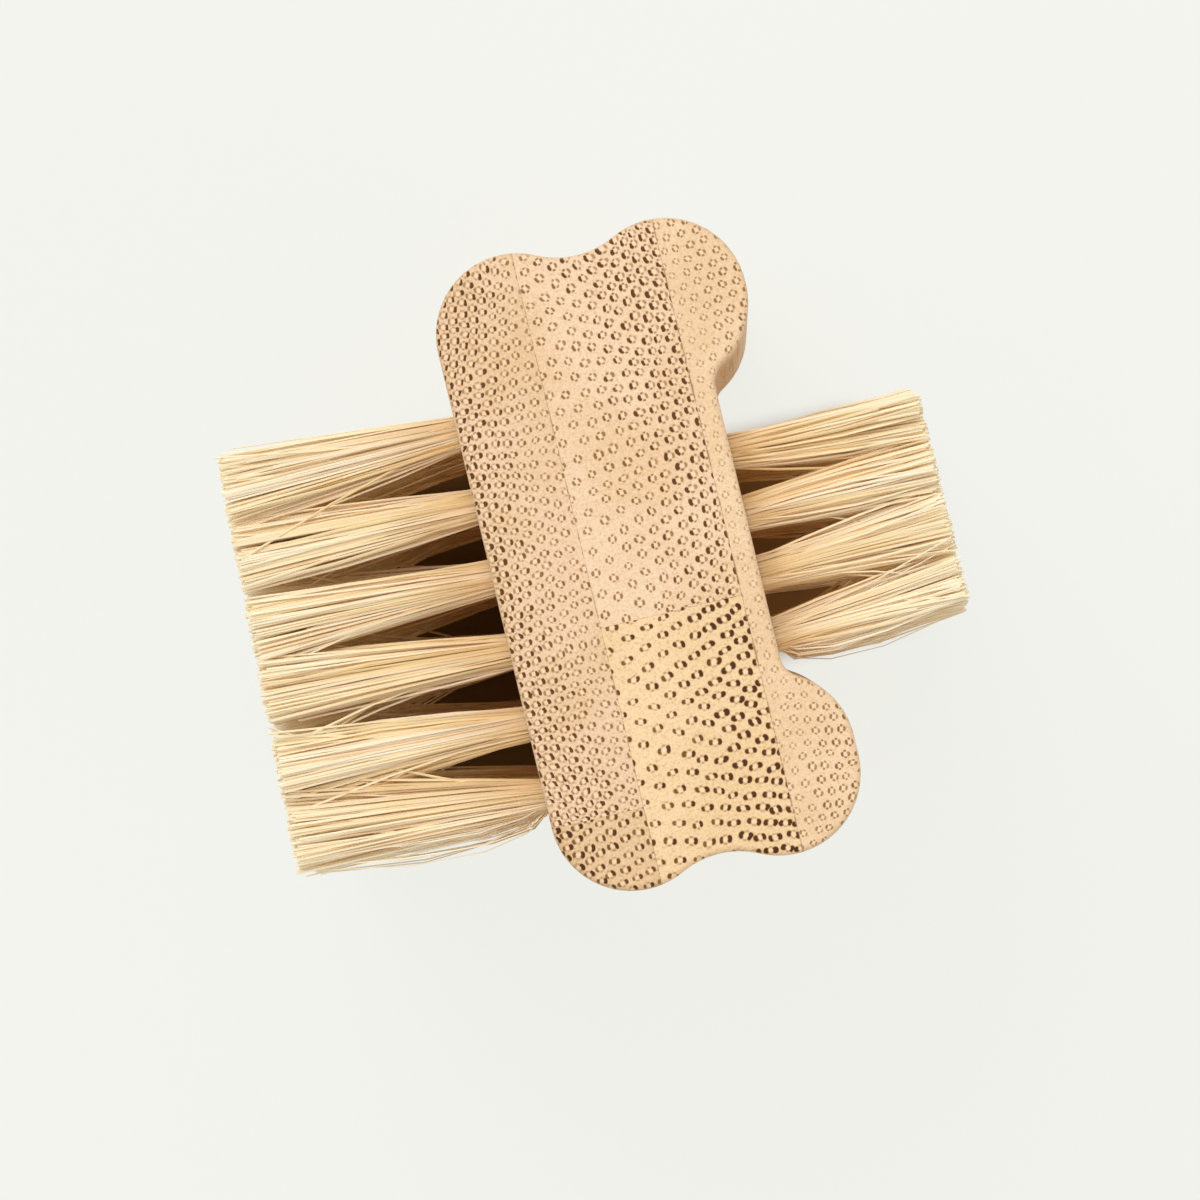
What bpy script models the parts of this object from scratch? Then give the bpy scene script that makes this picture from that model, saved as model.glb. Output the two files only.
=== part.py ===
"""Double-sided nail brush, in metres.

A bone-shaped bamboo block is glued up from five strips. Six rows of long bristle tufts stand on its flat
side, and four rows of short ones stand in the waist of the other side. Each tuft sits in a drilled hole,
held by a flat-wire anchor.

The brush stands on one end. X runs through the block from the flat side to the waist side, Y runs across its
width, and Z runs along its length. The origin is the middle of the lower end face.
"""

import math
from collections import namedtuple

import bmesh
import bpy
from mathutils import Vector

# Block: outline of the end face
BLOCK_LENGTH = 0.0950
BLOCK_WIDTH = 0.0401
WAIST_THICKNESS = 0.0161
LOBE_RISE = 0.0033
CORNER_RADIUS = 0.0050
LOBE_RADIUS = 0.00505
GRIP_DEPTH = 0.0011
WAIST_FILLET = 0.0015
SLIM_LOBE_CREST = 0.0002
FULL_LOBE_CREST = 0.0012
RIM_ROUND = 0.0004

# Block: the strips that it is glued up from
FACE_STRIP_THICKNESS = 0.0058
WAIST_STRIP_THICKNESS = 0.0014
GLUE_GAP = 0.0003

# Block: where two strips of a layer meet, seen from the rows of holes
FACE_BUTT_LIP = 0.0003  # wood between the last long row's holes and the face strips' joint
CORE_BUTT_ROW = 3  # the short row whose holes the core strips' joint runs through
CORE_BUTT_OFFSET = 0.001015  # from the middle of that row to the joint, towards -Y

# Tuft holes and what sits in them
TUFTS_PER_ROW = 16
END_MARGIN = 0.00625
HOLE_DIAMETER = 0.0032
HOLE_DEPTH = 0.0050
FIT_GAP = 0.0003
ROOT_THICKNESS = 0.0008
ANCHOR_HEIGHT = 0.0012
ANCHOR_THICKNESS = 0.0002
ANCHOR_GAP = 0.00022

# Long bristles, on the flat side
LONG_ROWS = 6
LONG_ROW_PITCH = 0.0046
LONG_ROW_CENTRE = -0.0015
LONG_TIP_PITCH = 0.00427
LONG_TIP_CENTRE = -0.00075
LONG_FREE_LENGTH = 0.0150
LONG_TRIM_RISE = 0.0009

# Short bristles, in the waist
SHORT_ROWS = 4
SHORT_ROW_PITCH = 0.00387
SHORT_ROW_CENTRE = -0.0008
SHORT_TIP_PITCH = 0.00357
SHORT_TIP_CENTRE = -0.00065
SHORT_FREE_LENGTH = 0.0117
SHORT_TRIM_RISE = 0.0001

# Strands: how a tuft is shared out among them, and how they spread
STRAND_UNEVENNESS = 0.0003
STRAND_TAPER_SHARE = 0.85
TIP_FAN_SHARE = 0.62
LONE_STRAND_SHARES = ((0.0, -0.80), (0.92, 0.0), (0.0, 0.80))
PAIRED_STRAND_SHARES = ((0.0, 0.10), (0.88, 0.10), (0.10, 0.88))

# Facets
CORNER_STEPS = 6
GRIP_STEPS = 7
LOBE_STEPS = 7
FLANK_STEPS = 4
FILLET_STEPS = 3
RIM_STEPS = 2
HOLE_SIDES = 8
SHARP_ANGLE = math.radians(40)

# Worked out from the above
BLOCK_THICKNESS = WAIST_THICKNESS + LOBE_RISE
HALF_WIDTH = BLOCK_WIDTH / 2
FLAT_FACE_X = -BLOCK_THICKNESS / 2
WAIST_FACE_X = FLAT_FACE_X + WAIST_THICKNESS
TUFT_PITCH = (BLOCK_LENGTH - 2 * END_MARGIN) / (TUFTS_PER_ROW - 1)
HOLE_RADIUS = HOLE_DIAMETER / 2
TUFT_RADIUS = HOLE_RADIUS * math.cos(math.pi / HOLE_SIDES) - FIT_GAP
CHANNEL_HEIGHT = ROOT_THICKNESS + ANCHOR_HEIGHT + 3 * FIT_GAP

Side = namedtuple(
    "Side",
    "name rows face_x outward row_pitch row_centre tip_pitch tip_centre free_length trim_rise",
)
SIDES = (
    Side(
        "long",
        LONG_ROWS,
        FLAT_FACE_X,
        -1,
        LONG_ROW_PITCH,
        LONG_ROW_CENTRE,
        LONG_TIP_PITCH,
        LONG_TIP_CENTRE,
        LONG_FREE_LENGTH,
        LONG_TRIM_RISE,
    ),
    Side(
        "short",
        SHORT_ROWS,
        WAIST_FACE_X,
        1,
        SHORT_ROW_PITCH,
        SHORT_ROW_CENTRE,
        SHORT_TIP_PITCH,
        SHORT_TIP_CENTRE,
        SHORT_FREE_LENGTH,
        SHORT_TRIM_RISE,
    ),
)


def clear_scene():
    for obj in list(bpy.data.objects):
        bpy.data.objects.remove(obj, do_unlink=True)


def make_material(name, colour, roughness, metallic):
    material = bpy.data.materials.new(name)
    material.use_nodes = True
    shader = material.node_tree.nodes["Principled BSDF"]
    shader.inputs["Base Color"].default_value = (*colour, 1.0)
    shader.inputs["Roughness"].default_value = roughness
    shader.inputs["Metallic"].default_value = metallic
    return material


def make_object(name, bm, material, origin=(0, 0, 0)):
    """Turns the bmesh into an object of that name and origin, smooth but for its real edges."""
    bmesh.ops.recalc_face_normals(bm, faces=bm.faces[:])
    bmesh.ops.translate(bm, verts=bm.verts[:], vec=-Vector(origin))
    mesh = bpy.data.meshes.new(name)
    bm.to_mesh(mesh)
    bm.free()
    mesh.shade_smooth()
    mesh.set_sharp_from_angle(angle=SHARP_ANGLE)
    if material:
        mesh.materials.append(material)
    obj = bpy.data.objects.new(name, mesh)
    obj.location = origin
    bpy.context.scene.collection.objects.link(obj)
    return obj


def box(low, high):
    """A bmesh box between two corners."""
    bm = bmesh.new()
    bmesh.ops.create_cube(bm, size=1)
    for vert in bm.verts:
        vert.co = [high[i] if vert.co[i] > 0 else low[i] for i in range(3)]
    return bm


def arc(centre, radius, start, end, steps):
    """Points along an arc, both ends included, turning the short way from one direction to the other."""
    turn = (end - start + math.pi) % math.tau - math.pi
    angles = [start + turn * step / steps for step in range(steps + 1)]
    return [(centre[0] + radius * math.cos(a), centre[1] + radius * math.sin(a)) for a in angles]


def direction(origin, target):
    return math.atan2(target[1] - origin[1], target[0] - origin[0])


def grip_circle(corner, lobe):
    """Centre and radius of the finger groove, tangent to the corner and the lobe and GRIP_DEPTH deep."""
    reach = (lobe[0] - corner[0]) / math.sqrt(GRIP_DEPTH)
    root = (reach + 2 * (CORNER_RADIUS - LOBE_RADIUS) / reach) / 2
    radius = (root**2 + GRIP_DEPTH) / 2 - CORNER_RADIUS
    centre = (corner[0] + root * math.sqrt(GRIP_DEPTH), HALF_WIDTH - GRIP_DEPTH + radius)
    return centre, radius


def half_outline(crest):
    """The block's outline on one side of Y = 0, from the flat face round to the waist, at +Y.

    X is counted from the flat face here. The lobe's crest is flat for the length given."""
    corner = (CORNER_RADIUS, HALF_WIDTH - CORNER_RADIUS)
    lobe = (BLOCK_THICKNESS - LOBE_RADIUS, HALF_WIDTH - LOBE_RADIUS)
    inner_lobe = (lobe[0], lobe[1] - crest)
    grip, grip_radius = grip_circle(corner, lobe)
    fillet_x = WAIST_THICKNESS + WAIST_FILLET
    fillet_reach = math.sqrt((LOBE_RADIUS + WAIST_FILLET) ** 2 - (fillet_x - lobe[0]) ** 2)
    fillet = (fillet_x, inner_lobe[1] - fillet_reach)
    points = arc(corner, CORNER_RADIUS, math.pi, direction(corner, grip), CORNER_STEPS)
    points += arc(grip, grip_radius, direction(grip, corner), direction(grip, lobe), GRIP_STEPS)[1:]
    points += arc(lobe, LOBE_RADIUS, direction(lobe, grip), 0, LOBE_STEPS)[1:]
    points += arc(inner_lobe, LOBE_RADIUS, 0, direction(inner_lobe, fillet), FLANK_STEPS)
    points += arc(fillet, WAIST_FILLET, direction(fillet, inner_lobe), math.pi, FILLET_STEPS)[1:]
    return points


def make_block():
    """The whole block as one bmesh, before it is split into strips, with its two rims rounded."""
    slim_half = half_outline(SLIM_LOBE_CREST)
    full_half = [(x, -y) for x, y in half_outline(FULL_LOBE_CREST)]
    outline = slim_half + full_half[::-1]
    bm = bmesh.new()
    face = bm.faces.new([bm.verts.new((FLAT_FACE_X + x, y, 0)) for x, y in outline])
    raised = bmesh.ops.extrude_face_region(bm, geom=[face])["geom"]
    top = [item for item in raised if isinstance(item, bmesh.types.BMVert)]
    bmesh.ops.translate(bm, verts=top, vec=(0, 0, BLOCK_LENGTH))
    rims = [edge for edge in bm.edges if edge.verts[0].co.z == edge.verts[1].co.z]
    bmesh.ops.bevel(
        bm, geom=rims, offset=RIM_ROUND, segments=RIM_STEPS, profile=0.5, affect="EDGES"
    )
    bmesh.ops.recalc_face_normals(bm, faces=bm.faces[:])
    return bm


def keep_side(bm, axis, limit, keep_above):
    """Cuts the bmesh at a plane across the axis and keeps one side of it, closed."""
    point = [0, 0, 0]
    point[axis] = limit
    normal = [0, 0, 0]
    normal[axis] = -1 if keep_above else 1
    everything = bm.verts[:] + bm.edges[:] + bm.faces[:]
    cut = bmesh.ops.bisect_plane(
        bm, geom=everything, plane_co=point, plane_no=normal, clear_outer=True
    )
    edges = [item for item in cut["geom_cut"] if isinstance(item, bmesh.types.BMEdge)]
    bmesh.ops.edgenet_fill(bm, edges=edges)


def make_strip(name, block, cuts, cutters, material):
    """One bamboo strip: the block between its glue lines, drilled for the tufts that stand in it."""
    bm = block.copy()
    for axis, limit, keep_above in cuts:
        keep_side(bm, axis, limit, keep_above)
    strip = make_object(name, bm, material)
    drilled = strip.modifiers.new("tuft holes", "BOOLEAN")
    drilled.operation = "DIFFERENCE"
    drilled.solver = "EXACT"
    drilled.operand_type = "COLLECTION"
    drilled.collection = cutters


def make_strips(cutters):
    block = make_block()
    half_gap = GLUE_GAP / 2
    face_joint = FLAT_FACE_X + FACE_STRIP_THICKNESS
    waist_joint = WAIST_FACE_X - WAIST_STRIP_THICKNESS
    long_side, short_side = SIDES
    last_row = middle_of_row(long_side, long_side.rows - 1)
    face_butt = last_row - HOLE_RADIUS - FACE_BUTT_LIP - half_gap
    core_butt = middle_of_row(short_side, CORE_BUTT_ROW - 1) - CORE_BUTT_OFFSET
    in_face = (0, face_joint - half_gap, False)
    in_core = ((0, face_joint + half_gap, True), (0, waist_joint - half_gap, False))
    pink = make_material("bamboo_face", (0.80, 0.60, 0.42), 0.55, 0)
    peach = make_material("bamboo_core", (0.86, 0.66, 0.45), 0.55, 0)
    yellow = make_material("bamboo_yellow", (0.86, 0.68, 0.40), 0.55, 0)
    make_strip("face_strip_wide", block, (in_face, (1, face_butt + half_gap, True)), cutters, pink)
    make_strip(
        "face_strip_narrow", block, (in_face, (1, face_butt - half_gap, False)), cutters, yellow
    )
    make_strip(
        "core_strip_wide", block, (*in_core, (1, core_butt + half_gap, True)), cutters, peach
    )
    make_strip(
        "core_strip_narrow", block, (*in_core, (1, core_butt - half_gap, False)), cutters, yellow
    )
    make_strip("waist_strip", block, ((0, waist_joint + half_gap, True),), cutters, peach)
    block.free()


def place(centre, pitch, count, index):
    """Where the copy of that number stands, counted from the +Y end of a row of rows."""
    return centre - (index - (count - 1) / 2) * pitch


def middle_of_row(side, index):
    """Y of the tufts of a row, where they leave the wood."""
    return place(side.row_centre, side.row_pitch, side.rows, index)


def tuft_heights():
    return [END_MARGIN + TUFT_PITCH * number for number in range(TUFTS_PER_ROW)]


def depth_x(side, depth):
    """X at that depth below the face that the bristles stand on."""
    return side.face_x - side.outward * depth


def channel_box(side, row_y, lowest, highest, half_width, end_gap):
    """Corners of a box along a row of holes, between two depths."""
    depths = sorted((depth_x(side, lowest), depth_x(side, highest)))
    end = END_MARGIN - HOLE_RADIUS + end_gap
    low = (depths[0], row_y - half_width, end)
    high = (depths[1], row_y + half_width, BLOCK_LENGTH - end)
    return low, high


def hide_cutter(cutter, collection):
    bpy.context.scene.collection.objects.unlink(cutter)
    collection.objects.link(cutter)
    cutter.hide_render = True
    cutter.display_type = "WIRE"


def make_hole_cutters(side, index, collection):
    """The round holes of one row, started level with the lobes, and the channel that joins their ends."""
    row_y = middle_of_row(side, index)
    outer = depth_x(side, -LOBE_RISE)
    inner = depth_x(side, HOLE_DEPTH - ROOT_THICKNESS)
    holes = bmesh.new()
    for height in tuft_heights():
        rings = []
        for x in (outer, inner):
            ring = []
            for number in range(HOLE_SIDES):
                angle = math.tau * (number + 0.5) / HOLE_SIDES
                across = HOLE_RADIUS * math.cos(angle)
                along = HOLE_RADIUS * math.sin(angle)
                ring.append(holes.verts.new((x, row_y + across, height + along)))
            rings.append(ring)
        holes.faces.new(rings[0])
        holes.faces.new(rings[1])
        for number in range(HOLE_SIDES):
            after = (number + 1) % HOLE_SIDES
            holes.faces.new(
                (rings[0][number], rings[0][after], rings[1][after], rings[1][number])
            )
    hide_cutter(make_object(f"{side.name}_holes_{index + 1}", holes, None), collection)
    channel = box(
        *channel_box(side, row_y, HOLE_DEPTH, HOLE_DEPTH - CHANNEL_HEIGHT, HOLE_RADIUS, 0)
    )
    hide_cutter(make_object(f"{side.name}_channel_{index + 1}", channel, None), collection)


def strand_sections(mirror):
    """The three strands of one tuft, each as a triangle of (across, along) offsets from the tuft's axis.

    One stands alone on one side of the anchor and two share the other side."""
    inner = ANCHOR_THICKNESS / 2 + ANCHOR_GAP
    room = TUFT_RADIUS - inner
    sections = []
    for shares, across_sign, along_sign in (
        (LONE_STRAND_SHARES, 1, 1),
        (PAIRED_STRAND_SHARES, -1, 1),
        (PAIRED_STRAND_SHARES, -1, -1),
    ):
        sections.append(
            [
                (
                    mirror * across_sign * (inner + room * across_share),
                    along_sign * TUFT_RADIUS * along_share,
                )
                for across_share, along_share in shares
            ]
        )
    return sections


def tip_of(section, fan):
    """The strand's section at its tip: drawn in, and carried away from the tuft's axis."""
    across = sum(point[0] for point in section) / len(section)
    along = sum(point[1] for point in section) / len(section)
    return [
        (
            across * fan + (point[0] - across) * STRAND_TAPER_SHARE,
            along * fan + (point[1] - along) * STRAND_TAPER_SHARE,
        )
        for point in section
    ]


def make_bristle_row(side, index, material):
    """One row of tufts: straight strands in their holes that fan out above the face, on a common root."""
    row_y = middle_of_row(side, index)
    tip_y = place(side.tip_centre, side.tip_pitch, side.rows, index)
    trim_share = index / (side.rows - 1) - 0.5
    length = side.free_length + side.trim_rise * trim_share
    fan = TIP_FAN_SHARE * side.tip_pitch / TUFT_RADIUS
    root_depth = HOLE_DEPTH - FIT_GAP
    root = channel_box(
        side, row_y, root_depth, root_depth - ROOT_THICKNESS, HOLE_RADIUS - FIT_GAP, FIT_GAP
    )
    bm = box(*root)
    root_x = depth_x(side, root_depth - ROOT_THICKNESS)
    top = min(bm.faces, key=lambda face: abs(face.calc_center_median().x - root_x))
    fill_edges = list(top.edges)
    bmesh.ops.delete(bm, geom=[top], context="FACES_ONLY")
    for number, height in enumerate(tuft_heights()):
        mirror = 1 if (number + index) % 2 else -1
        for strand, section in enumerate(strand_sections(mirror)):
            phase = number * math.sqrt(2) + strand * math.sqrt(3) + index * math.sqrt(5)
            tip_x = depth_x(side, -length - STRAND_UNEVENNESS * math.sin(math.tau * phase))
            levels = (
                (root_x, row_y, section),
                (side.face_x, row_y, section),
                (tip_x, tip_y, tip_of(section, fan)),
            )
            rings = [
                [bm.verts.new((x, y + across, height + along)) for across, along in points]
                for x, y, points in levels
            ]
            for lower, upper in zip(rings, rings[1:]):
                for corner in range(len(section)):
                    after = (corner + 1) % len(section)
                    bm.faces.new((lower[corner], lower[after], upper[after], upper[corner]))
            bm.faces.new(rings[-1])
            fill_edges += [
                bm.edges.get((rings[0][corner], rings[0][corner - 1]))
                for corner in range(len(section))
            ]
    bmesh.ops.triangle_fill(bm, use_beauty=True, edges=fill_edges)
    make_object(f"{side.name}_bristle_row_{index + 1}", bm, material, (side.face_x, row_y, 0))


def make_anchor_row(side, index, material):
    """The row's flat-wire anchors, drawn as one uncut wire that stands on edge between the strands."""
    row_y = middle_of_row(side, index)
    lowest = HOLE_DEPTH - ROOT_THICKNESS - 2 * FIT_GAP
    wire = channel_box(
        side, row_y, lowest, lowest - ANCHOR_HEIGHT, ANCHOR_THICKNESS / 2, FIT_GAP
    )
    name = f"{side.name}_row_anchor_{index + 1}"
    make_object(name, box(*wire), material, (side.face_x, row_y, 0))


def main():
    clear_scene()
    cutters = bpy.data.collections.new("tuft_cutters")
    bpy.context.scene.collection.children.link(cutters)
    straw = make_material("bristle_fibre", (0.78, 0.62, 0.38), 0.7, 0)
    steel = make_material("anchor_steel", (0.55, 0.55, 0.57), 0.35, 1)
    for side in SIDES:
        for index in range(side.rows):
            make_hole_cutters(side, index, cutters)
            make_bristle_row(side, index, straw)
            make_anchor_row(side, index, steel)
    make_strips(cutters)
    pieces = list(bpy.data.objects)
    brush = bpy.data.objects.new("nail_brush", None)
    bpy.context.scene.collection.objects.link(brush)
    for piece in pieces:
        piece.parent = brush


main()
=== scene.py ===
"""Looks of the double-sided nail brush: a sanded bamboo block, its end grain and its plant-fibre tufts.

Lengths are in metres unless a name or a comment says otherwise. The brush stands on its end: Z runs along
its length, X from the side with the long tufts to the waist with the short ones, and Y across its width.
"""

import math

import bmesh
import bpy
import numpy as np
from mathutils import Matrix, Vector


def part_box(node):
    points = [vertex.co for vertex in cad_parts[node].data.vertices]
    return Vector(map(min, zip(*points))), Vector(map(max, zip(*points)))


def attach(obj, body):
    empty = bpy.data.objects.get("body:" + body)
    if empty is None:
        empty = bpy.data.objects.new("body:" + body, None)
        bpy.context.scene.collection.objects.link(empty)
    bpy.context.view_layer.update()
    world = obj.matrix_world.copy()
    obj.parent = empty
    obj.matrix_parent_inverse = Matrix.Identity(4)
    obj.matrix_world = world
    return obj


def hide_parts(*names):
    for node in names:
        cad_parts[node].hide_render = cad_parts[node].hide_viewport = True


MM = 0.001

# Outline of the block's end face. A lobe's crest is the straight stretch between its two arcs.
CORNER_RADIUS = 5.0 * MM
LOBE_RADIUS = 5.05 * MM
GRIP_DEPTH = 1.1 * MM
WAIST_FILLET = 1.5 * MM
SLIM_LOBE_CREST = 0.2 * MM
FULL_LOBE_CREST = 1.2 * MM
HALF_WIDTH = 20.01 * MM
WAIST_THICKNESS = 16.1 * MM
RIM_ROUND = 0.45 * MM

# Glue lines: the gap between two strips, and the worn edge on either side of it
SEAM = 0.004 * MM
SEAM_EDGE = 0.006 * MM

# Facets
ARC_STEPS = 60
OUTLINE_POINTS = 1600
FACET_LENGTH = 0.35 * MM
RIM_STEPS = 5
HOLE_SIDES = 24
SHARP_ANGLE = math.radians(32)
LEAST_TURN = math.radians(0.01)

# Tufts and their holes
TUFTS_PER_ROW = 16
END_MARGIN = 6.25 * MM
HOLE_RADIUS = 1.28 * MM
HOLE_DEPTH = 4.6 * MM
TUFT_RADIUS = 1.04 * MM

# Flat-wire anchors, one across the bottom of each hole
ANCHOR_WIDTH = 3.0 * MM
ANCHOR_HEIGHT = 1.1 * MM
ANCHOR_THICKNESS = 0.25 * MM
ANCHOR_LIFT = 0.2 * MM

# Camera: the photograph's frame in pixels, the eye's place over the block, and where it looks
PHOTO_SIDE = 1200
PHOTO_PIXELS_PER_METRE = 16280
CAMERA_HEIGHT = 855 * MM
CAMERA_X, CAMERA_Y = 3.75 * MM, -5.4 * MM
AIM_X, AIM_Y = -3.54 * MM, -2.04 * MM
PHOTO_UP = (0.2326, 0.9726, 0.0)
SENSOR_WIDTH = 36

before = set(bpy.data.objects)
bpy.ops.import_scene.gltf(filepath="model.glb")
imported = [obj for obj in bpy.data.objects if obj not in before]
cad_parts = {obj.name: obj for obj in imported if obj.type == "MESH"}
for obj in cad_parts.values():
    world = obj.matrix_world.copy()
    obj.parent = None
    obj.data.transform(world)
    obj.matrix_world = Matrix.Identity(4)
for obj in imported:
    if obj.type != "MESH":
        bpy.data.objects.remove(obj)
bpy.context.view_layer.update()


def corners(node):
    low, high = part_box(node)
    return Vector(low), Vector(high)


def middle_of_gap(lower_node, upper_node, axis):
    """The middle of the gap between two nodes along an axis."""
    return (corners(lower_node)[1][axis] + corners(upper_node)[0][axis]) / 2


# Read from the frame
BLOCK_LENGTH = corners("waist_strip")[1].z
FLAT_FACE_X = corners("face_strip_wide")[0].x
BLOCK_THICKNESS = corners("waist_strip")[1].x - FLAT_FACE_X
WAIST_FACE_X = FLAT_FACE_X + WAIST_THICKNESS
FACE_SEAM_X = middle_of_gap("face_strip_wide", "core_strip_wide", 0)
WAIST_SEAM_X = middle_of_gap("core_strip_wide", "waist_strip", 0)
FACE_BUTT_Y = middle_of_gap("face_strip_narrow", "face_strip_wide", 1)
CORE_BUTT_Y = middle_of_gap("core_strip_narrow", "core_strip_wide", 1)
TUFT_PITCH = (BLOCK_LENGTH - 2 * END_MARGIN) / (TUFTS_PER_ROW - 1)


def linear(red, green, blue):
    """A colour as it looks on screen, from 0 to 255 a channel, in the linear values that nodes take."""
    channels = []
    for level in (red, green, blue):
        share = level / 255
        channels.append(share / 12.92 if share <= 0.04045 else ((share + 0.055) / 1.055) ** 2.4)
    return (*channels, 1.0)


class Graph:
    """Adds nodes to a node tree, with numbers and links given side by side."""

    def __init__(self, tree):
        self.tree = tree

    def add(self, kind, inputs=(), **settings):
        node = self.tree.nodes.new(kind)
        for name, value in settings.items():
            setattr(node, name, value)
        for socket, value in dict(inputs).items():
            self.put(node.inputs[socket], value)
        return node

    def put(self, socket, value):
        if isinstance(value, bpy.types.NodeSocket):
            self.tree.links.new(value, socket)
        else:
            socket.default_value = value

    def math(self, operation, *values):
        return self.add("ShaderNodeMath", enumerate(values), operation=operation).outputs[0]

    def times(self, first, second):
        return self.math("MULTIPLY", first, second)

    def vector(self, operation, *values):
        node = self.add("ShaderNodeVectorMath", operation=operation)
        for index, value in enumerate(values):
            self.put(node.inputs[index], value)
        return node.outputs["Value" if operation == "LENGTH" else "Vector"]

    def scaled(self, value, factor):
        node = self.add("ShaderNodeVectorMath", {"Vector": value, "Scale": factor}, operation="SCALE")
        return node.outputs["Vector"]

    def joined(self, x, y, z=0.0):
        return self.add("ShaderNodeCombineXYZ", {"X": x, "Y": y, "Z": z}).outputs[0]

    def split(self, value):
        return self.add("ShaderNodeSeparateXYZ", {"Vector": value}).outputs

    def place(self):
        """X, Y and Z of the shaded point in mm."""
        return self.split(self.scaled(self.add("ShaderNodeTexCoord").outputs["Object"], 1 / MM))

    def step(self, value, low, high, start=0.0, end=1.0):
        """A smooth step from start to end, as the value goes from low to high."""
        inputs = {"Value": value, "From Min": low, "From Max": high, "To Min": start, "To Max": end}
        node = self.add("ShaderNodeMapRange", inputs, interpolation_type="SMOOTHSTEP")
        return node.outputs["Result"]

    def ramp(self, value, low, high):
        """How far the value is from low to high, from 0 to 1."""
        inputs = {"Value": value, "From Min": low, "From Max": high}
        return self.add("ShaderNodeMapRange", inputs).outputs["Result"]

    def noise(self, place, scale, detail=2.0, roughness=0.5):
        inputs = {"Vector": place, "Scale": scale, "Detail": detail, "Roughness": roughness}
        return self.add("ShaderNodeTexNoise", inputs).outputs

    def between(self, share, ends):
        """The number that lies that share of the way between two."""
        return self.math("MULTIPLY_ADD", share, ends[1] - ends[0], ends[0])

    def blend(self, share, first, second):
        """A mix of two colours. The Mix node repeats its sockets' names, so they are taken by number."""
        node = self.add("ShaderNodeMix", data_type="RGBA")
        self.put(node.inputs[0], share)
        self.put(node.inputs[6], first)
        self.put(node.inputs[7], second)
        return node.outputs[2]


def new_material(name):
    """A material with its tree ready, and the Principled shader in it."""
    material = bpy.data.materials.new(name)
    material.use_nodes = True
    graph = Graph(material.node_tree)
    return material, graph, material.node_tree.nodes["Principled BSDF"]


# Bamboo end grain

# The lattice that the bundles stand on, and how far out in the strip they start to darken
ROW_STEP = math.sqrt(3) / 2
LATTICE_JITTER = 0.2
LATTICE_TURN = math.radians(30)
DARK_FROM = 0.3

# One bundle, in shares of its radius: the middle and the radii of its inner cap, its outer cap and its
# mirrored side caps, how their size goes with their strength, and the steps at their edge, at the edge of the
# pale middle and on both sides of the dark ring round it
CAP_PLACES = (
    ((-0.72, 0.0), (0.46, 0.76)),
    ((0.72, 0.0), (0.46, 0.76)),
    ((0.0, 0.85), (0.44, 0.36)),
)
CAP_GROWTH = (0.68, 1.04)
CAP_EDGE = (1.3, 0.6)
PALE_EDGE = (0.68, 0.26)
RING_INNER_EDGE = (0.42, 0.7)
RING_OUTER_EDGE = (1.15, 0.85)
DARK_IN_PALE = 0.08

# How bundles differ: their lean in radians, their size and the strength of their caps
BUNDLE_LEAN = (-0.25, 0.25)
BUNDLE_SIZE = (0.94, 1.06)
BUNDLE_VIGOUR = (0.86, 1.12)

# What Z is multiplied by in each pattern, which draws it out along the fibres on the planed sides
BUNDLE_ALONG = 0.03
SPECK_ALONG = 0.015
GLUE_ALONG = 0.05

# Wood between the bundles. Scales are features to the mm, and pairs are the ends of a smooth step.
WANDER_SCALE, WANDER = 0.35, 0.75
BLOTCH_SCALE, BLOTCH_EDGE = 0.2, (0.4, 0.68)
SPECK_SCALE = 5.5
DARK_SPECKS, DARK_SPECK_SHARE = (0.47, 0.72), 0.42
PALE_SPECKS, PALE_SPECK_SHARE = (0.47, 0.28), 0.55
PALE_MIDDLE_SHARE = 0.45
PALE_PITH = linear(254, 226, 192)

# Where a face counts as sawn, by how far it looks along the length, and how dark bundles are on the sides
SAWN = (0.3, 0.85)
DARK_ON_SIDES = 0.4

# How a bundle's darkness shows: the steps to the brown and to the darkest tone, and the wood's roughness.
# Then how far specks rise and caps sink, and how strongly and deep that shows.
CAP_BROWN, CAP_DARKEST = (0.0, 0.6), (0.35, 0.95)
WOOD_ROUGHNESS = (0.58, 0.68)
SPECK_RISE, CAP_RISE = 0.5, -0.7
BUMP_STRENGTH, BUMP_DEPTH = 0.3, 0.04 * MM

# Glue that soaked into the wood beside a seam: how far in mm, in patches, and its tone
GLUE_REACH = 0.11
GLUE_SCALE, GLUE_PATCHES = 0.9, (0.42, 0.62)
GLUE_BROWN = linear(160, 118, 76)


class Grain:
    """How a strip's vascular bundles lie and look. Lengths are in mm.

    The strip was cut from a round culm, whose middle lies at centre. Bundles crowd towards the culm's skin,
    at outer_x. Each pair gives a value at the strip's inner and its outer edge.
    """

    def __init__(
        self, centre, inner_x, outer_x, spacing, size, stretch, inner_cap, outer_cap, side_caps, ring
    ):
        self.centre = centre
        self.outward = 1 if outer_x > inner_x else -1
        self.near = abs(inner_x - centre[0])
        self.far = abs(outer_x - centre[0])
        self.power = 1 + math.log(spacing[0] / spacing[1]) / math.log(self.far / self.near)
        self.density = 1 / (spacing[0] * self.power * self.near ** (self.power - 1))
        self.size = size
        self.stretch = stretch
        self.caps = (inner_cap, outer_cap, side_caps)
        self.ring = ring


def soft_spot(graph, u, v, centre, radii, strength):
    """One fibre cap of a bundle: a soft ellipse that grows and darkens with its strength."""
    offset = graph.joined(
        graph.math("DIVIDE", graph.math("SUBTRACT", u, centre[0]), radii[0]),
        graph.math("DIVIDE", graph.math("SUBTRACT", v, centre[1]), radii[1]),
    )
    reach = graph.math("DIVIDE", graph.vector("LENGTH", offset), graph.between(strength, CAP_GROWTH))
    return graph.times(graph.step(reach, *CAP_EDGE), strength)


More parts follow.
